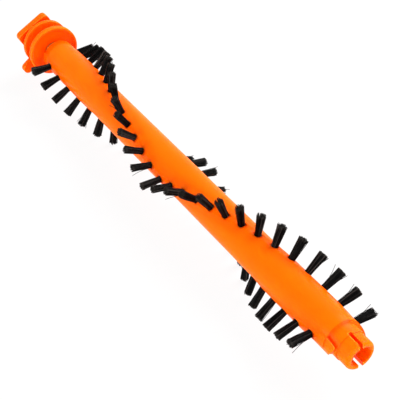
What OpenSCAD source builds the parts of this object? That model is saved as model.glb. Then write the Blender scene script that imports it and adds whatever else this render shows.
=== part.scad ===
// Brush roll of a vacuum cleaner's power head: a moulded roller with two rows of bristle
// tufts in a chevron, a slotted drive stub at one end, and at the other an end cap that
// stays still while the roller turns in its bearing.
// The roll's axis runs along X with the drive end towards +X, and Z is up. The roll lies
// on its tuft tips at Z = 0, and the origin is below the middle of its length.

/* [Brush] */
// Tufts in the long row, an odd number. The staggered row has one less
long_row = 27; // [21:2:27]
// Spacing of the tufts along the roll
tuft_pitch = 8.1; // [7:0.1:9]
// Diameter across the tuft tips
brush_d = 34; // [30:0.5:40]
// Turn of each row from the roll's end to its middle
row_turn = 180; // [120:5:200]
// Drilled hole that holds one tuft
tuft_hole_d = 2.8; // [2.2:0.1:3]
// Depth of a tuft hole below the land
tuft_hole_depth = 5; // [4:0.1:5.2]
// Play between a tuft and the wall of its hole
tuft_play = 0.05; // [0.02:0.01:0.1]
// Diameter of a tuft at its tip, where the bristles spread
tuft_tip_d = 3.5; // [3:0.1:5]
// Thickness of the flat wire anchor that holds a tuft
anchor_t = 0.4; // [0.3:0.05:0.6]
// Height of the wire anchor
anchor_h = 1.8; // [1:0.1:2.5]

/* [Roller] */
// Diameter of the roller's body
body_d = 15.1; // [14:0.1:18]
// Height of the raised land under each row
land_h = 0.4; // [0.3:0.1:1]
// Width of a land across its top
land_w = 4.3; // [4:0.1:5]
// Width of a land's sloping flank
land_flank = 0.5; // [0.2:0.1:0.8]
// Plain length of body beyond the last tuft
end_margin = 2.9; // [2.5:0.1:5]

/* [Drive end] */
// Length of the two lugs beyond the body
lug_len = 4.8; // [3:0.1:6]
// Width of the flat notch between the lugs, where it is narrowest
notch_w = 9.6; // [8:0.1:10]
// How much wider the notch is at its mouth
notch_flare = 1.3; // [0.5:0.1:2.5]
// Distance from a lug's middle at which its end starts to fall away as a ramp
ramp_start = 4; // [3:0.1:5]
// Slope of the ramp
ramp_angle = 30; // [0:1:35]
// Diameter of the drive stub
stub_d = 12.15; // [11:0.05:13]
// Length of the stub beyond the body
stub_len = 10.9; // [9:0.1:14]
// Rounding of the stub's rim
stub_round = 1.2; // [0.5:0.1:1.5]
// Step of the stub's shoulder above its seat, on the radius
shoulder_h = 0.25; // [0.2:0.05:0.4]
// Length of the shoulder past the ends of the lugs
shoulder_past = 0.4; // [0.2:0.1:0.6]
// Bore of the drive socket
socket_d = 7.7; // [7:0.1:9]
// Depth of the drive socket
socket_depth = 11.5; // [8:0.1:11.8]
// Width of the narrow slot through the stub's wall
slot_w = 1.4; // [0.8:0.1:2]
// Width of the wide slot, opposite the narrow one
wide_slot_w = 2.1; // [1.5:0.1:3]
// Length of both slots from the stub's rim
slot_len = 6.6; // [4:0.1:8]
// Direction of the narrow slot, from +Y towards +Z
slot_angle = 87; // [0:1:179]
// Direction of the notches, from +Y towards +Z
notch_angle = 102; // [0:1:179]

/* [End cap] */
// Free length between the roller's body and the cap's rim
cap_gap = 4.3; // [3:0.1:6]
// Diameter of the hair guard, the cap's disc beside the roller
guard_d = 24.3; // [22:0.1:26]
// Width of the hair guard
guard_w = 2.6; // [2:0.1:4]
// Depth of the guard's dished face
guard_hollow = 1.4; // [0.8:0.1:1.6]
// Wall of the guard's rim
guard_wall = 1; // [0.8:0.1:2]
// Width of the groove between guard and flange
groove_w = 5.65; // [4.6:0.05:7]
// Diameter of the cap's neck
neck_d = 15; // [13:0.1:16]
// Diameter of the middle flange
flange_d = 22.6; // [19:0.1:24]
// Width of the middle flange
flange_w = 2.65; // [2:0.05:4]
// Length of neck between flange and square plate
plate_gap = 3.35; // [2:0.05:5]
// Side of the square plate that keeps the cap from turning
plate_side = 17.8; // [16.5:0.1:19]
// Thickness of the square plate
plate_t = 3.75; // [2:0.05:5]
// Rounding of the plate's corners
plate_round = 2.2; // [1:0.1:4]
// Turn of the square plate about the roll's axis
plate_angle = 21; // [0:1:89]
// Reach of the locating tab from the axis
tab_reach = 17.3; // [13:0.1:18]
// Width of the locating tab
tab_w = 4.6; // [3:0.1:6]
// Thickness of the locating tab
tab_t = 2.6; // [1.5:0.1:3.5]
// Direction of the tab, from +Y towards +Z
tab_angle = 209; // [180:1:230]
// Chamfer on the cap's edges
cap_edge = 0.4; // [0.2:0.1:0.6]

/* [Bearing] */
// Diameter of the steel axle pin
pin_d = 3; // [2.5:0.1:4]
// Length of pin pressed into the roller
pin_grip = 20; // [10:0.5:25]
// Diameter of the roller's nose behind the washer
nose_d = 8.4; // [7.5:0.1:10]
// Outside diameter of the bearing bush
bush_d = 8; // [6:0.1:9]
// Running play between pin and bush, on the radius
bush_play = 0.02; // [0.01:0.01:0.08]
// Length of bush that stands out of the cap's hollow
bush_proud = 0.6; // [0.3:0.1:0.8]
// Free play along the axis on each side of the cap
end_play = 0.2; // [0.1:0.05:0.3]
// Outside diameter of the thrust washer
washer_d = 7.4; // [6:0.1:8]
// Thickness of the thrust washer
washer_t = 0.8; // [0.5:0.1:1]
// Diameter of the recess that hides the retaining ring
recess_d = 10; // [9.5:0.1:11]
// Depth of that recess from the cap's outer face
recess_depth = 8.5; // [6:0.1:9]
// Diameter of the retaining ring
ring_d = 6.6; // [6:0.1:8]
// Thickness of the retaining ring
ring_t = 0.6; // [0.4:0.05:0.8]
// Depth of the ring's groove in the pin
ring_seat = 0.35; // [0.2:0.05:0.5]
// Length of pin beyond the retaining ring
pin_tail = 1.2; // [0.8:0.1:2]

/* [Hidden] */
$fn = 64;
// Number of the staggered row's tuft, counted from the roll's end, that points straight down
rest_tuft = 7;
// Small overshoot that lets one cut pass through a face
cut = 1;
// Length of one step along the twisted body
land_step = 4.5;
// Faces across a land's top
land_faces = 4;
// Faces round the plain side of the body between two lands
side_faces = 15;
// Chamfer on small steel and bronze pieces
small_edge = 0.3;
// Straight steps along the curve of the guard's dish
dish_steps = 8;
// Clearance between the retaining ring and its groove
ring_play = 0.02;

orange = "#FF7300";
black = "#1C1B1A";

tip_r = brush_d / 2;
body_r = body_d / 2;
land_r = body_r + land_h;
hole_floor_r = land_r - tuft_hole_depth;
root_d = tuft_hole_d - 2 * tuft_play;
half_row = (long_row - 1) / 2;
row_step = row_turn / half_row;
row_start = 90 - rest_tuft * row_step;
turn_per_mm = row_step / tuft_pitch;

// Half the angle that a land takes up at its top and at its foot
land_top = land_w / 2 / land_r * 180 / PI;
land_foot = land_top + land_flank / body_r * 180 / PI;

body_end = half_row * tuft_pitch + end_margin;
stub_end = body_end + stub_len;
guard_x = -body_end - cap_gap;
groove_x = guard_x - guard_w;
flange_x = groove_x - groove_w;
plate_gap_x = flange_x - flange_w;
plate_x = plate_gap_x - plate_gap;
cap_end = plate_x - plate_t;
hollow_x = guard_x - guard_hollow;
bush_x = hollow_x + bush_proud;
washer_x = bush_x + end_play;
nose_x = washer_x + washer_t;
recess_x = cap_end + recess_depth;
ring_x = recess_x - end_play;
pin_end = ring_x - ring_t - pin_tail;
mid_x = (stub_end + cap_end) / 2;

function two_digits(n) = str(n < 10 ? "0" : "", n);
function tuft_name(row, i) = str("tuft_r", row + 1, "_", two_digits(i + 1));
function row_count(row) = long_row - row;
function tuft_x(row, i) = (i - (row_count(row) - 1) / 2) * tuft_pitch;
function tuft_angle(row, i) = row_start + row * 180 + row_step * min(i, row_count(row) - 1 - i);
function land_mid_angle(row) = row_start + row * 180 + row_step * (row_count(row) - 1) / 2;

// Placing

// From the roll's own frame, with X = 0 midway along the rows, to the part's frame
module placed() {
    translate([-mid_x, 0, tip_r])
        children();
}

// Turns a profile's XY plane across the roll and its height along the roll
module along_roll() {
    rotate([90, 0, 90])
        children();
}

// Stands a piece on the roll's axis with its own Z pointing out at this place and angle
module outward(x, angle) {
    translate([x, 0, 0])
        rotate([angle - 90, 0, 0])
            children();
}

// Shared shapes

// A plain length of round bar along the roll
module rod(x0, x1, d) {
    along_roll()
        translate([0, 0, x0])
            cylinder(d = d, h = x1 - x0);
}

// A length of round bar with a chamfer on both ends
module turned(x0, x1, d, edge) {
    along_roll()
        rotate_extrude()
            polygon([
                [0, x0], [d / 2 - edge, x0], [d / 2, x0 + edge],
                [d / 2, x1 - edge], [d / 2 - edge, x1], [0, x1]
            ]);
}

// Roller

function polar(r, angle) = r * [cos(angle), sin(angle)];

// Outline across the roller at mid-length, with the tops of the lands at this radius.
// It runs over one row's land, along the plain side of the body, and again for row two
function body_outline(top_r) =
    let (mid = [land_mid_angle(0), land_mid_angle(1), land_mid_angle(0) + 360])
    [
        for (row = [0, 1])
            let (from = mid[row] + land_foot, to = mid[row + 1] - land_foot)
            each concat(
                [polar(body_r, mid[row] - land_foot)],
                [for (n = [0:land_faces]) polar(top_r, mid[row] + land_top * (2 * n / land_faces - 1))],
                [for (n = [0:side_faces - 1]) polar(body_r, from + (to - from) * n / side_faces)]
            )
    ];

// The body with both lands, twisting from mid-length to each end
module twisted_body() {
    for (side = [0, 1])
        mirror([side, 0, 0])
            along_roll()
                linear_extrude(
                    height = body_end,
                    twist = turn_per_mm * body_end,
                    slices = ceil(body_end / land_step),
                    $fn = 12
                )
                    polygon(body_outline(land_r));
}

// One flat-sided notch that leaves the two lugs standing on past the body
module lug_notch(angle) {
    mouth_w = notch_w + notch_flare;
    outward(body_end, angle)
        linear_extrude(body_d)
            polygon([
                [0, -notch_w / 2], [0, notch_w / 2],
                [lug_len, mouth_w / 2], [lug_len + cut, mouth_w / 2],
                [lug_len + cut, -mouth_w / 2], [lug_len, -mouth_w / 2]
            ]);
}

// The sloping cut over one lug's end, so that the lug drives in one direction only
module lug_ramp(angle) {
    foot = -body_r - cut;
    outward(body_end, angle + 90)
        linear_extrude(body_d)
            polygon([
                [lug_len, ramp_start], [lug_len + cut, ramp_start],
                [lug_len + cut, foot], [lug_len - (ramp_start - foot) * tan(ramp_angle), foot]
            ]);
}

// The plain body beyond the lands, cut away to two lugs with ramped ends
module lugs() {
    difference() {
        translate([body_end, 0, 0])
            along_roll()
                linear_extrude(lug_len)
                    rotate(-turn_per_mm * body_end)
                        polygon(body_outline(body_r));
        for (side = [0, 180]) {
            lug_notch(notch_angle + side);
            lug_ramp(notch_angle + side);
        }
    }
}

// The round drive stub, solid here, with its rounded rim and the shoulder at its root
module stub() {
    along_roll()
        translate([0, 0, body_end - cut])
            rotate_extrude() {
                square([stub_d / 2 + shoulder_h, cut + lug_len + shoulder_past]);
                square([stub_d / 2 - stub_round, stub_len + cut]);
                square([stub_d / 2, stub_len + cut - stub_round]);
                intersection() {
                    translate([stub_d / 2 - stub_round, stub_len + cut - stub_round])
                        circle(stub_round);
                    square([stub_d / 2, stub_len + cut]);
                }
            }
}

// A slot through the stub's wall on one side, open at the rim
module slot(angle, width) {
    outward(stub_end - slot_len, angle)
        translate([0, -width / 2, 0])
            cube([slot_len + cut, width, stub_d]);
}

module roller_body() {
    color(orange)
        placed()
            difference() {
                union() {
                    twisted_body();
                    lugs();
                    stub();
                    rod(nose_x, -body_end + cut, nose_d);
                }
                for (row = [0, 1])
                    for (i = [0:row_count(row) - 1])
                        outward(tuft_x(row, i), tuft_angle(row, i))
                            translate([0, 0, hole_floor_r])
                                cylinder(d = tuft_hole_d, h = tuft_hole_depth + cut);
                rod(stub_end - socket_depth, stub_end + cut, socket_d);
                slot(slot_angle, slot_w);
                slot(slot_angle + 180, wide_slot_w);
                rod(nose_x - cut, nose_x + pin_grip, pin_d);
            }
}

// Tufts

// One tuft: the bristles fill the hole, straddle the wire anchor and spread to a flat tip
module tuft(row, i) {
    color(black)
        placed()
            outward(tuft_x(row, i), tuft_angle(row, i))
                difference() {
                    union() {
                        translate([0, 0, hole_floor_r])
                            cylinder(d = root_d, h = tuft_hole_depth);
                        translate([0, 0, land_r])
                            cylinder(d1 = root_d, d2 = tuft_tip_d, h = tip_r - land_r);
                    }
                    translate([-tuft_hole_d, -anchor_t / 2 - tuft_play, hole_floor_r - cut])
                        cube([2 * tuft_hole_d, anchor_t + 2 * tuft_play, anchor_h + cut]);
                }
}

// The flat wire anchors at the bottom of the tuft holes
module tuft_anchors() {
    anchor_w = tuft_hole_d - 2 * tuft_play;
    color("silver")
        placed()
            for (row = [0, 1])
                for (i = [0:row_count(row) - 1])
                    outward(tuft_x(row, i), tuft_angle(row, i))
                        translate([-anchor_w / 2, -anchor_t / 2, hole_floor_r])
                            cube([anchor_w, anchor_t, anchor_h]);
}

// Bearing

module axle_pin() {
    color("lightgrey")
        placed()
            difference() {
                turned(pin_end, nose_x + pin_grip, pin_d, small_edge);
                difference() {
                    rod(ring_x - ring_t - ring_play, ring_x + ring_play, pin_d + cut);
                    rod(ring_x - ring_t - cut, ring_x + cut, pin_d - 2 * ring_seat);
                }
            }
}

module thrust_washer() {
    color("ivory")
        placed()
            difference() {
                rod(washer_x, nose_x, washer_d);
                rod(washer_x - cut, nose_x + cut, pin_d + 4 * small_edge);
            }
}

// The open retaining ring grips the pin's groove with three prongs
module retaining_ring() {
    grip_r = pin_d / 2 - ring_seat + ring_play;
    relief_r = (grip_r + ring_d / 2) / 2;
    color("dimgray")
        placed()
            along_roll()
                translate([0, 0, ring_x - ring_t])
                    linear_extrude(ring_t)
                        difference() {
                            circle(d = ring_d);
                            circle(grip_r);
                            difference() {
                                circle(relief_r);
                                for (a = [75, 180, 285])
                                    rotate(a)
                                        translate([0, -grip_r / 2])
                                            square([relief_r + cut, grip_r]);
                            }
                            translate([0, -grip_r])
                                square([ring_d, 2 * grip_r]);
                        }
}

module bearing_bush() {
    color("#B08D57")
        placed()
            difference() {
                turned(recess_x, bush_x, bush_d, small_edge);
                rod(recess_x - cut, bush_x + cut, pin_d + 2 * bush_play);
            }
}

// End cap

// Square plate with rounded corners
module plate_outline() {
    flat = plate_side - 2 * plate_round;
    square([plate_side, flat], center = true);
    square([flat, plate_side], center = true);
    for (sx = [-1, 1])
        for (sy = [-1, 1])
            translate([sx, sy] * flat / 2)
                circle(plate_round);
}

// Locating tab: a flat tongue with a round end, standing out beside the flange
module tab() {
    outward(flange_x, tab_angle)
        rotate([90, 0, 90])
            linear_extrude(tab_t) {
                translate([-tab_w / 2, 0])
                    square([tab_w, tab_reach - tab_w / 2]);
                translate([0, tab_reach - tab_w / 2])
                    circle(d = tab_w);
            }
}

// The dished hollow in the guard's face, open towards the roller: a flat floor round the
// bush, then an even curve up to the rim
module dish() {
    rim_r = guard_d / 2 - guard_wall;
    floor_r = neck_d / 2 - guard_wall;
    along_roll()
        rotate_extrude()
            polygon(concat(
                [[0, guard_x + cut], [0, hollow_x]],
                [for (n = [0:dish_steps])
                    let (rise = 90 * n / dish_steps)
                    [
                        floor_r + (rim_r - floor_r) * sin(rise),
                        hollow_x + guard_hollow * (1 - cos(rise))
                    ]],
                [[rim_r, guard_x + cut]]
            ));
}

module end_cap() {
    color(orange)
        placed()
            difference() {
                union() {
                    turned(groove_x, guard_x, guard_d, cap_edge);
                    rod(plate_x - cut, guard_x, neck_d);
                    turned(plate_gap_x, flange_x, flange_d, cap_edge);
                    along_roll()
                        translate([0, 0, cap_end])
                            rotate(plate_angle)
                                linear_extrude(plate_t)
                                    plate_outline();
                    tab();
                }
                dish();
                rod(recess_x - cut, hollow_x + cut, bush_d);
                rod(cap_end - cut, recess_x, recess_d);
            }
}

roller_body();
tuft_anchors();
axle_pin();
thrust_washer();
retaining_ring();
end_cap();
bearing_bush();
for (row = [0, 1])
    for (i = [0:row_count(row) - 1])
        tuft(row, i);
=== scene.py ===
# A vacuum cleaner's brush roll: an orange moulded roller with two chevron rows of black
# bristle tufts, a slotted drive stub at one end, and at the other a square-ended cap that
# turns on a bearing. The axis runs along X with the drive end at +X, and the roll lies on
# its tuft tips.
import math

import bmesh
import bpy
from mathutils import Matrix, Vector


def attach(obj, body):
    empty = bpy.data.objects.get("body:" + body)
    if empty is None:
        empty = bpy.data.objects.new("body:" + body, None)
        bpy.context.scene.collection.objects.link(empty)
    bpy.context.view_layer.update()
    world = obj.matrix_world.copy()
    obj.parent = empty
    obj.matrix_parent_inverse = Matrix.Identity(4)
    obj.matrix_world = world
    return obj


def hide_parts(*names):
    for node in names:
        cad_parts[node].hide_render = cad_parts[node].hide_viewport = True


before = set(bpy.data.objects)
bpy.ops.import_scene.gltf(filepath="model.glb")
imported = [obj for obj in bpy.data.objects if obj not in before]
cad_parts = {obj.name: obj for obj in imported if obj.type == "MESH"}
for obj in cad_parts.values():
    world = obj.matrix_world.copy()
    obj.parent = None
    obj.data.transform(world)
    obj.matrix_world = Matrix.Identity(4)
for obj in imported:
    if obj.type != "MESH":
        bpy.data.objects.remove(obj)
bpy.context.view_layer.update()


# The photograph's view
# The camera stands beyond the drive end, above the roll and a little to its -Y side, and
# looks along the roll. Its place and turn were fitted to the tuft rows in the photograph.
MM = 0.001
AXIS_HEIGHT = 17.0 * MM
ROW_MIDDLE_X = 5.7 * MM
CAMERA_FROM_ROW_MIDDLE = Vector((292.5, -136.2, 285.4)) * MM
VIEW_RIGHT = Vector((0.5344, 0.8374, -0.1147)).normalized()
VIEW_UP = Vector((-0.5358, 0.4407, 0.7202)).normalized()

scene = bpy.context.scene
scene.view_settings.view_transform = "Standard"
camera_data = bpy.data.cameras.new("photo_camera")
camera_data.sensor_width = 36.0
camera_data.lens = 94.63
camera_data.clip_start = 0.01
camera = bpy.data.objects.new("photo_camera", camera_data)
turn = Matrix((VIEW_RIGHT, VIEW_UP, VIEW_RIGHT.cross(VIEW_UP))).transposed()
place = Vector((ROW_MIDDLE_X, 0.0, AXIS_HEIGHT)) + CAMERA_FROM_ROW_MIDDLE
camera.matrix_world = Matrix.Translation(place) @ turn.to_4x4()
scene.collection.objects.link(camera)
scene.camera = camera


# Roller moulding
# One injection moulding in orange plastic: the body with its two raised lands and two
# ramped lugs, and the hollow drive stub with one narrow and one wider slot.
FLOW_SCALE = 45.0
GRAIN_SCALE = 2600.0
EDGE_ROUNDING = 0.6 * MM
WELD = 0.002 * MM
MOULDING_CREASE = 24.0


class Wire:
    """A node's output that takes part in Python sums."""

    def __init__(self, nodes, socket):
        self.nodes = nodes
        self.socket = socket

    def sum(self, operation, *terms):
        return self.nodes.math(operation, *terms)

    def __add__(self, other):
        return self.sum("ADD", self, other)

    def __radd__(self, other):
        return self.sum("ADD", other, self)

    def __sub__(self, other):
        return self.sum("SUBTRACT", self, other)

    def __rsub__(self, other):
        return self.sum("SUBTRACT", other, self)

    def __mul__(self, other):
        return self.sum("MULTIPLY", self, other)

    def __rmul__(self, other):
        return self.sum("MULTIPLY", other, self)

    def __truediv__(self, other):
        return self.sum("DIVIDE", self, other)

    def __rtruediv__(self, other):
        return self.sum("DIVIDE", other, self)

    def __pow__(self, other):
        return self.sum("POWER", self, other)

    def __rpow__(self, other):
        return self.sum("POWER", other, self)


class Nodes:
    """Adds nodes to one tree and links them."""

    def __init__(self, tree):
        self.tree = tree

    def add(self, kind, sockets=None, out=0, stops=None, **settings):
        """Adds a node: its settings first, then the values or links of its sockets."""
        node = self.tree.nodes.new(kind)
        for name, value in settings.items():
            setattr(node, name, value)
        if stops:
            elements = node.color_ramp.elements
            while len(elements) < len(stops):
                elements.new(1.0)
            for element, (position, colour) in zip(elements, stops):
                element.position = position
                element.color = colour
        for name, value in (sockets or {}).items():
            if isinstance(value, Wire):
                self.tree.links.new(value.socket, node.inputs[name])
            else:
                node.inputs[name].default_value = value
        return Wire(self, node.outputs[out]) if node.outputs else None

    def math(self, operation, *terms):
        return self.add("ShaderNodeMath", dict(enumerate(terms)), operation=operation)

    def mix(self, factor, first, second):
        """A colour between two colours."""
        return self.add(
            "ShaderNodeMix", {0: factor, 6: first, 7: second}, out=2, data_type="RGBA"
        )

    def ramp(self, value, low, high):
        """0 where the value is at low, 1 where it is at high, and even between them."""
        return self.add("ShaderNodeMapRange", {0: value, 1: low, 2: high, 3: 0.0, 4: 1.0})

    def noise(self, place, scale, detail):
        return self.add(
            "ShaderNodeTexNoise", {"Vector": place, "Scale": scale, "Detail": detail}
        )


def screen(red, green, blue):
    """A colour written as 0-255 screen values, as the linear colour that nodes take."""
    shares = (value / 255.0 for value in (red, green, blue))
    return tuple(
        share / 12.92 if share <= 0.04045 else ((share + 0.055) / 1.055) ** 2.4
        for share in shares
    ) + (1.0,)


def material_nodes(name):
    """A new material and the nodes of its empty tree."""
    material = bpy.data.materials.new(name)
    material.use_nodes = True
    material.node_tree.nodes.clear()
    return material, Nodes(material.node_tree)


def surface(nodes, **sockets):
    """Ends a material in a Principled shader, with sockets named by their words."""
    named = {name.replace("_", " "): value for name, value in sockets.items()}
    shader = nodes.add("ShaderNodeBsdfPrincipled", named)
    nodes.add("ShaderNodeOutputMaterial", {"Surface": shader})


def moulded_plastic(name, plain, deep, painted_shade_colour, painted_highlight_colour, roughness):
    """Semi-gloss plastic with a fine grain, into which light soaks a little way. It is
    deeper in slow flow streaks. Painted shade makes it redder in corners and beside the
    tufts, and a painted highlight makes it paler along its edges."""
    material, nodes = material_nodes(name)
    place = nodes.add("ShaderNodeTexCoord", out=3)
    flow = nodes.noise(place, FLOW_SCALE, 3.0)
    grain = nodes.noise(place, GRAIN_SCALE, 2.0)
    streak = nodes.ramp(flow, 0.35, 0.7)

    # Painted shade: how closed in a place is, among the tufts, in a corner and in a narrow
    # corner, sets where the colour is painted redder and darker
    painted_shade_share = 0.0
    for reach, open_view, closed_view, share in (
        (10.0 * MM, 0.99, 0.86, 0.5),
        (6.0 * MM, 0.9, 0.3, 1.0),
        (1.2 * MM, 0.95, 0.7, 0.65),
    ):
        view = nodes.add("ShaderNodeAmbientOcclusion", {"Distance": reach}, out=1)
        closed = nodes.ramp(view, open_view, closed_view) * share
        painted_shade_share = nodes.math("MAXIMUM", closed, painted_shade_share)

    # On a sharp edge the rounded normal leans away from the plain one, and there a paler
    # painted highlight is mixed into the colour
    rounded = nodes.add("ShaderNodeBevel", {"Radius": EDGE_ROUNDING}, samples=8)
    outward = nodes.add("ShaderNodeNewGeometry", out=1)
    bend = nodes.add(
        "ShaderNodeVectorMath", {0: rounded, 1: outward}, out=1, operation="DOT_PRODUCT"
    )
    painted_highlight_share = nodes.ramp(bend, 0.99, 0.86)

    # A paler painted highlight along sharp edges, over the flow streaks
    colour = nodes.mix(painted_highlight_share, nodes.mix(streak, plain, deep), painted_highlight_colour)
    bump = nodes.add(
        "ShaderNodeBump",
        {
            "Strength": 0.10,
            "Distance": 0.04 * MM,
            "Height": grain + flow,
            "Normal": rounded,
        },
    )
    surface(
        nodes,
        # Painted shade: a redder, darker orange where the place is closed in, in corners
        # and beside the tufts
        Base_Color=nodes.mix(painted_shade_share, colour, painted_shade_colour),
        Roughness=streak * 0.07 + (grain * 0.05 + roughness),
        Specular_IOR_Level=0.04,
        Subsurface_Weight=0.4,
        Subsurface_Radius=(1.0, 0.3, 0.1),
        Subsurface_Scale=1.0 * MM,
        Normal=bump,
    )
    return material


def merged_copy(node, name, body, material, crease):
    """Adds a welded, smooth-shaded copy of a CAD node, which stands for it. It stays sharp
    where it bends by more than crease degrees."""
    shell = bmesh.new()
    shell.from_mesh(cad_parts[node].data)
    bmesh.ops.remove_doubles(shell, verts=shell.verts, dist=WELD)
    for face in shell.faces:
        face.smooth = True
        face.material_index = 0
    mesh = bpy.data.meshes.new(name)
    shell.to_mesh(mesh)
    shell.free()
    mesh.materials.append(material)
    mesh.set_sharp_from_angle(angle=math.radians(crease))
    piece = bpy.data.objects.new(name, mesh)
    scene.collection.objects.link(piece)
    shading = piece.modifiers.new("even_flat_faces", "WEIGHTED_NORMAL")
    shading.keep_sharp = True
    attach(piece, body)
    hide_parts(node)


orange_plastic = moulded_plastic(
    "orange_moulded_plastic",
    plain=screen(255, 110, 0),
    deep=screen(253, 104, 0),
    # Painted shade colour, for corners and beside the tufts
    painted_shade_colour=screen(255, 68, 0),
    # Painted highlight colour, for sharp edges
    painted_highlight_colour=screen(255, 160, 40),
    roughness=0.30,
)
merged_copy(
    "roller_body",
    "roller_moulding",
    "roller",
    orange_plastic,
    MOULDING_CREASE,
)


# End cap
# The second moulding in orange plastic: the dished hair guard, the neck, the middle flange
# with its tab, and the square plate. It stays still in the head while the roll turns.
merged_copy(
    "end_cap", "cap_moulding", "end_cap", orange_plastic, MOULDING_CREASE
)


# Bristle tufts
# Black nylon filaments, folded over a flat wire in each hole and trimmed to one radius.
# They leave the hole packed tight and spread towards the tip, and a few stray sideways.

# The turn from one tuft of a row to the next, in degrees, and the angle of row 1's end
# tufts, which sets the ones that are seven from its ends straight up
TUFT_TURN = 180.0 / 13.0
FIRST_ANGLE = math.radians(90.0 - 7.0 * TUFT_TURN)
ROD_CREASE = 80.0


def bristle_nylon():
    """Satin black nylon: the filaments differ in tone, and their cut ends are paler."""
    material, nodes = material_nodes("black_bristle_nylon")
    tone = nodes.add("ShaderNodeAttribute", out=2, attribute_name="tone")
    along = nodes.add("ShaderNodeAttribute", out=2, attribute_name="along")
    shade = nodes.add(
        "ShaderNodeValToRGB",
        {"Fac": tone},
        stops=[
            (0.0, screen(0, 0, 0)),
            (0.55, screen(6, 5, 5)),
            (1.0, screen(88, 83, 80)),
        ],
    )
    worn = nodes.ramp(along, 0.9, 1.0) * 0.2
    surface(
        nodes,
        Base_Color=nodes.mix(worn, shade, screen(84, 78, 72)),
        Roughness=tone * 0.2 + 0.36,
        Specular_IOR_Level=0.08,
    )
    return material


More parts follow.
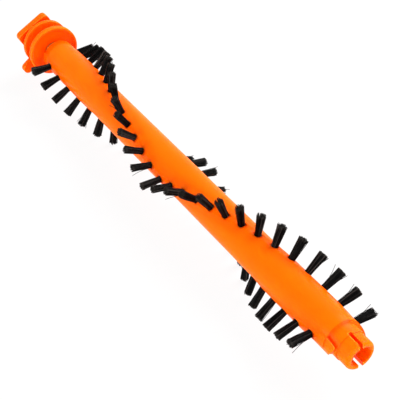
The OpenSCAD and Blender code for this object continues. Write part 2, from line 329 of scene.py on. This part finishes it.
def bristle_row_tree():
    """The node tree that grows one chevron row of tufts, filament by filament."""
    tree = bpy.data.node_groups.new("bristle_row", "GeometryNodeTree")
    tree.interface.new_socket(
        "Bristles", in_out="OUTPUT", socket_type="NodeSocketGeometry"
    )
    for name, kind, value in (
        ("Tufts", "NodeSocketInt", 27),
        ("Filaments in a tuft", "NodeSocketInt", 128),
        ("Pitch", "NodeSocketFloat", 8.1 * MM),
        ("First angle", "NodeSocketFloat", 0.0),
        ("Turn from tuft to tuft", "NodeSocketFloat", math.radians(TUFT_TURN)),
        ("Row middle", "NodeSocketFloat", ROW_MIDDLE_X),
        ("Axis height", "NodeSocketFloat", AXIS_HEIGHT),
        ("Root radius", "NodeSocketFloat", 6.2 * MM),
        ("Land radius", "NodeSocketFloat", 7.95 * MM),
        ("Tip radius", "NodeSocketFloat", 17.0 * MM),
        ("Tuft radius in its hole", "NodeSocketFloat", 1.3 * MM),
        ("Tip radius of a far tuft", "NodeSocketFloat", 1.8 * MM),
        ("Tip radius of a middle tuft", "NodeSocketFloat", 1.5 * MM),
        ("Tip radius of a drive tuft", "NodeSocketFloat", 1.8 * MM),
        ("Filament radius", "NodeSocketFloat", 0.1 * MM),
        ("Uneven length", "NodeSocketFloat", 0.55 * MM),
        ("Clump lean", "NodeSocketFloat", 0.25 * MM),
        ("Curl", "NodeSocketFloat", 0.16 * MM),
        ("Stray share", "NodeSocketFloat", 0.016),
        ("Stray lean", "NodeSocketFloat", 2.6 * MM),
        ("Seed", "NodeSocketInt", 1),
        ("Material", "NodeSocketMaterial", None),
    ):
        socket = tree.interface.new_socket(name, in_out="INPUT", socket_type=kind)
        if value is not None:
            socket.default_value = value

    nodes = Nodes(tree)
    salts_in_a_seed = 40

    def given(name):
        return nodes.add("NodeGroupInput", out=name)

    def chance(low, high, owner, salt):
        """A random number that stays the same for one owner. Each salt is another draw."""
        seed = given("Seed") * salts_in_a_seed + salt
        return nodes.add(
            "FunctionNodeRandomValue",
            {2: low, 3: high, "ID": owner, "Seed": seed},
            out=1,
            data_type="FLOAT",
        )

    def store(geometry, name, value):
        return nodes.add(
            "GeometryNodeStoreNamedAttribute",
            {"Geometry": geometry, "Name": name, "Value": value},
            data_type="FLOAT",
            domain="POINT",
        )

    # One unit rod for each filament, numbered before it becomes plain mesh
    count = given("Filaments in a tuft")
    points = nodes.add("GeometryNodePoints", {"Count": given("Tufts") * count})
    points = store(points, "filament", nodes.add("GeometryNodeInputIndex"))
    rod = nodes.add(
        "GeometryNodeMeshCylinder",
        {"Vertices": 5, "Side Segments": 4, "Radius": 1.0, "Depth": 1.0},
        fill_type="NGON",
    )
    rods = nodes.add("GeometryNodeInstanceOnPoints", {"Points": points, "Instance": rod})
    rods = nodes.add("GeometryNodeRealizeInstances", {"Geometry": rods})
    filament = nodes.add(
        "GeometryNodeInputNamedAttribute", {"Name": "filament"}, data_type="FLOAT"
    )
    position = nodes.add("GeometryNodeInputPosition")
    side_u, side_v, level = (
        nodes.add("ShaderNodeSeparateXYZ", {0: position}, out=axis) for axis in range(3)
    )
    along = level + 0.5

    # The tuft that the filament belongs to, and where that tuft stands
    tuft = nodes.math("FLOOR", (filament + 0.5) / count)
    number = filament - tuft * count
    last = given("Tufts") - 1.0
    from_end = nodes.math("MINIMUM", tuft, last - tuft)
    angle = given("First angle") + given("Turn from tuft to tuft") * from_end
    tuft_x = given("Row middle") + (tuft - last * 0.5) * given("Pitch")

    # The tuft's width at its tips, which grows from the row's middle to the last sixth at
    # each end
    from_middle = tuft / last - 0.5
    middle_radius = given("Tip radius of a middle tuft")
    tip_radius = middle_radius
    for end, growth_rate in (("far", -3.0), ("drive", 3.0)):
        nearness = nodes.math("MAXIMUM", from_middle * growth_rate, 0.0)
        growth = given(f"Tip radius of a {end} tuft") - middle_radius
        tip_radius = tip_radius + growth * nodes.math("MINIMUM", nearness, 1.0)
    tip_radius = tip_radius * chance(0.93, 1.07, tuft, 13)

    # The filament's place in the round bundle: a sunflower spread, shaken a little
    golden_angle = math.pi * (3.0 - math.sqrt(5.0))
    shake = 0.06
    around = number * golden_angle + chance(0.0, 2.0 * math.pi, tuft, 1)
    share = nodes.math("SQRT", (number + 0.5) / count)
    place_u = share * nodes.math("COSINE", around) + chance(-shake, shake, filament, 2)
    place_v = share * nodes.math("SINE", around) + chance(-shake, shake, filament, 3)

    # Filaments lean in clumps, and a few lean far out on their own
    clumps_in_a_tuft = 6.0
    spiral_part = nodes.math("FRACT", around / 2.1)
    clump = tuft * clumps_in_a_tuft + nodes.math("FLOOR", spiral_part * clumps_in_a_tuft)
    stray = nodes.math("LESS_THAN", chance(0.0, 1.0, filament, 4), given("Stray share"))
    far = stray * given("Stray lean") * chance(0.4, 1.2, filament, 5)
    lean_u = given("Clump lean") * chance(-1.0, 1.0, clump, 6) + far * place_u
    lean_v = given("Clump lean") * chance(-1.0, 1.0, clump, 7) + far * place_v
    curl_u = given("Curl") * chance(-1.0, 1.0, filament, 8)
    curl_v = given("Curl") * chance(-1.0, 1.0, filament, 9)

    # Where its tip was cut, on or a little inside the trimmed radius
    uneven = chance(0.0, 0.5, clump, 10) + chance(0.0, 1.0, filament, 11) ** 3.0 * 0.5
    tip_v = place_v * tip_radius + lean_v + given("Filament radius")
    tip = nodes.math("SQRT", given("Tip radius") ** 2.0 - tip_v * tip_v)
    tip = tip - given("Uneven length") * uneven

    # The rod drawn out from the hole to that tip, spreading beyond the land
    height = given("Root radius") + (tip - given("Root radius")) * along
    spread = nodes.ramp(height, given("Land radius"), given("Tip radius"))
    hole_radius = given("Tuft radius in its hole")
    bundle = hole_radius + (tip_radius - hole_radius) * spread
    bow = spread * (1.0 - spread) * 4.0
    across_u = place_u * bundle + lean_u * spread * spread + curl_u * bow
    across_v = place_v * bundle + lean_v * spread * spread + curl_v * bow
    across_u = across_u + side_u * given("Filament radius")
    across_v = across_v + side_v * given("Filament radius")
    cosine = nodes.math("COSINE", angle)
    sine = nodes.math("SINE", angle)
    target = nodes.add(
        "ShaderNodeCombineXYZ",
        {
            "X": tuft_x + across_u,
            "Y": cosine * height - sine * across_v,
            "Z": given("Axis height") + sine * height + cosine * across_v,
        },
    )

    # What the material reads: the place along the filament, and a tone that is partly the
    # filament's own, partly its clump's and partly its tuft's
    bristles = store(rods, "along", along)
    tone = chance(0.0, 1.0, filament, 12) ** 3.0 * 0.7 + chance(0.0, 0.2, clump, 14)
    tone = tone + chance(0.0, 1.0, tuft, 16) ** 4.0 * 0.4
    bristles = store(bristles, "tone", tone)
    bristles = nodes.add(
        "GeometryNodeSetPosition", {"Geometry": bristles, "Position": target}
    )
    bristles = nodes.add(
        "GeometryNodeSetMaterial", {"Geometry": bristles, "Material": given("Material")}
    )
    nodes.add("NodeGroupOutput", {"Bristles": bristles})
    return tree


def grow_bristles(name, tree, sizes, nodes_replaced):
    """Adds one row: runs the tree once and keeps its result as a plain mesh."""
    seedbed = bpy.data.objects.new(name + "_seedbed", bpy.data.meshes.new(name))
    scene.collection.objects.link(seedbed)
    modifier = seedbed.modifiers.new("bristle_row", "NODES")
    modifier.node_group = tree
    for socket in tree.interface.items_tree:
        if socket.in_out == "INPUT" and socket.name in sizes:
            modifier[socket.identifier] = sizes[socket.name]
    grown = seedbed.evaluated_get(bpy.context.evaluated_depsgraph_get())
    mesh = bpy.data.meshes.new_from_object(grown)
    bpy.data.objects.remove(seedbed)
    mesh.name = name
    mesh.attributes.remove(mesh.attributes["filament"])
    mesh.shade_smooth()
    mesh.set_sharp_from_angle(angle=math.radians(ROD_CREASE))
    piece = bpy.data.objects.new(name, mesh)
    scene.collection.objects.link(piece)
    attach(piece, "roller")
    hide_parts(*nodes_replaced)


black_nylon = bristle_nylon()
bristle_row = bristle_row_tree()
for row, tufts, far_tip, middle_tip, drive_tip in (
    (1, 27, 1.8 * MM, 1.45 * MM, 1.9 * MM),
    (2, 26, 2.0 * MM, 1.6 * MM, 1.65 * MM),
):
    grow_bristles(
        f"bristles_row_{row}",
        bristle_row,
        {
            "Tufts": tufts,
            "First angle": FIRST_ANGLE + (row - 1) * math.pi,
            "Tip radius of a far tuft": far_tip,
            "Tip radius of a middle tuft": middle_tip,
            "Tip radius of a drive tuft": drive_tip,
            "Seed": row,
            "Material": black_nylon,
        },
        [f"tuft_r{row}_{number:02d}" for number in range(1, tufts + 1)],
    )


# Metal and bearing pieces
# The flat wire anchors deep in the tuft holes, the ground axle pin pressed into the body,
# its nylon thrust washer, the bronze bush pressed into the cap, and the ring on the pin.
METAL_CREASE = 32.0


def turned_metal(name, light, dark, roughness, mark_scale):
    """Bare metal with fine turning marks round the roll's axis."""
    material, nodes = material_nodes(name)
    place = nodes.add("ShaderNodeTexCoord", out=3)
    marks = nodes.add(
        "ShaderNodeTexWave",
        {"Vector": place, "Scale": mark_scale, "Distortion": 3.0, "Detail": 2.0},
        out=1,
        bands_direction="X",
    )
    patches = nodes.noise(place, 900.0, 4.0)
    bump = nodes.add(
        "ShaderNodeBump", {"Strength": 0.08, "Distance": 0.02 * MM, "Height": marks}
    )
    surface(
        nodes,
        Base_Color=nodes.mix(patches, light, dark),
        Metallic=1.0,
        Roughness=patches * 0.15 + roughness,
        Normal=bump,
    )
    return material


steel = turned_metal(
    "ground_steel",
    screen(200, 200, 204),
    screen(168, 168, 172),
    roughness=0.22,
    mark_scale=900.0,
)
dark_steel = turned_metal(
    "oiled_steel",
    screen(96, 96, 100),
    screen(70, 70, 74),
    roughness=0.34,
    mark_scale=500.0,
)
bronze = turned_metal(
    "sintered_bronze",
    screen(214, 132, 62),
    screen(182, 104, 46),
    roughness=0.42,
    mark_scale=700.0,
)


def natural_nylon():
    """Undyed nylon, faintly cloudy."""
    material, nodes = material_nodes("natural_nylon")
    place = nodes.add("ShaderNodeTexCoord", out=3)
    cloud = nodes.noise(place, 300.0, 3.0)
    surface(
        nodes,
        Base_Color=nodes.mix(cloud, screen(240, 230, 206), screen(228, 214, 184)),
        Roughness=cloud * 0.1 + 0.42,
    )
    return material


for node, body, slot, material in (
    ("tuft_anchors", "roller", "steel", steel),
    ("axle_pin", "roller", "steel", steel),
    ("retaining_ring", "roller", "spring_steel", dark_steel),
    ("thrust_washer", "roller", "white_nylon", natural_nylon()),
    ("bearing_bush", "end_cap", "bronze", bronze),
):
    merged_copy(node, node + "_part", body, material, METAL_CREASE)


# Floor and light
# A plain white floor and a white surround, as in the photograph, with soft lamps on both
# sides of the roll and one beyond its drive end. The floor keeps a faint shadow.
FLOOR_HALF = 1.5
FLOOR_DROP = 0.2 * MM
PAPER_GLOW = 0.9
AMBIENT_LIGHT = 0.49
WHITE = (1.0, 1.0, 1.0, 1.0)


def white_for_views(nodes):
    """1 for rays that see the background, straight or in a gloss, and 0 for the rest."""
    straight, glossy, through = (
        nodes.add("ShaderNodeLightPath", out=f"Is {kind} Ray")
        for kind in ("Camera", "Glossy", "Transmission")
    )
    return nodes.math("MAXIMUM", nodes.math("MAXIMUM", straight, glossy), through)


def floor_material():
    """White paper that mostly glows to the camera, so that only a faint shadow shows."""
    material, nodes = material_nodes("white_paper_floor")
    place = nodes.add("ShaderNodeTexCoord", out=3)
    fibre = nodes.noise(place, 40.0, 2.0)
    paper = nodes.add(
        "ShaderNodeBsdfDiffuse",
        {"Color": nodes.mix(fibre, screen(246, 246, 246), screen(250, 250, 250))},
    )
    glow = nodes.add("ShaderNodeEmission", {"Color": WHITE, "Strength": 1.0})
    shader = nodes.add(
        "ShaderNodeMixShader", {0: white_for_views(nodes) * PAPER_GLOW, 1: paper, 2: glow}
    )
    nodes.add("ShaderNodeOutputMaterial", {"Surface": shader})
    return material


FLOOR_CORNERS = ((-1, -1), (1, -1), (1, 1), (-1, 1))
floor_mesh = bpy.data.meshes.new("floor")
floor_mesh.from_pydata(
    [(x * FLOOR_HALF, y * FLOOR_HALF, 0.0) for x, y in FLOOR_CORNERS],
    [],
    [(0, 1, 2, 3)],
)
floor_mesh.materials.append(floor_material())
floor = bpy.data.objects.new("floor", floor_mesh)
floor.location.z = -FLOOR_DROP
scene.collection.objects.link(floor)

world = bpy.data.worlds.new("white_surround")
world.use_nodes = True
world.node_tree.nodes.clear()
world_nodes = Nodes(world.node_tree)
ambient = world_nodes.add(
    "ShaderNodeBackground", {"Color": WHITE, "Strength": AMBIENT_LIGHT}
)
backdrop = world_nodes.add("ShaderNodeBackground", {"Color": WHITE, "Strength": 1.0})
sky = world_nodes.add(
    "ShaderNodeMixShader", {0: white_for_views(world_nodes), 1: ambient, 2: backdrop}
)
world_nodes.add("ShaderNodeOutputWorld", {"Surface": sky})
scene.world = world


def soft_lamp(name, place, size, power):
    """Adds a square area lamp, in metres and watts, that faces the middle of the roll."""
    lamp_data = bpy.data.lights.new(name, "AREA")
    lamp_data.size = size
    lamp_data.energy = power
    lamp = bpy.data.objects.new(name, lamp_data)
    lamp.location = place
    aim = Vector((0.0, 0.0, AXIS_HEIGHT)) - lamp.location
    lamp.rotation_euler = aim.to_track_quat("-Z", "Y").to_euler()
    scene.collection.objects.link(lamp)


soft_lamp("key_lamp", Vector((0.05, 0.78, 0.62)), size=0.7, power=13.5)
soft_lamp("fill_lamp", Vector((0.05, -0.94, 0.34)), size=0.5, power=6.4)
soft_lamp("end_lamp", Vector((0.9, -0.1, 0.25)), size=0.4, power=4.0)
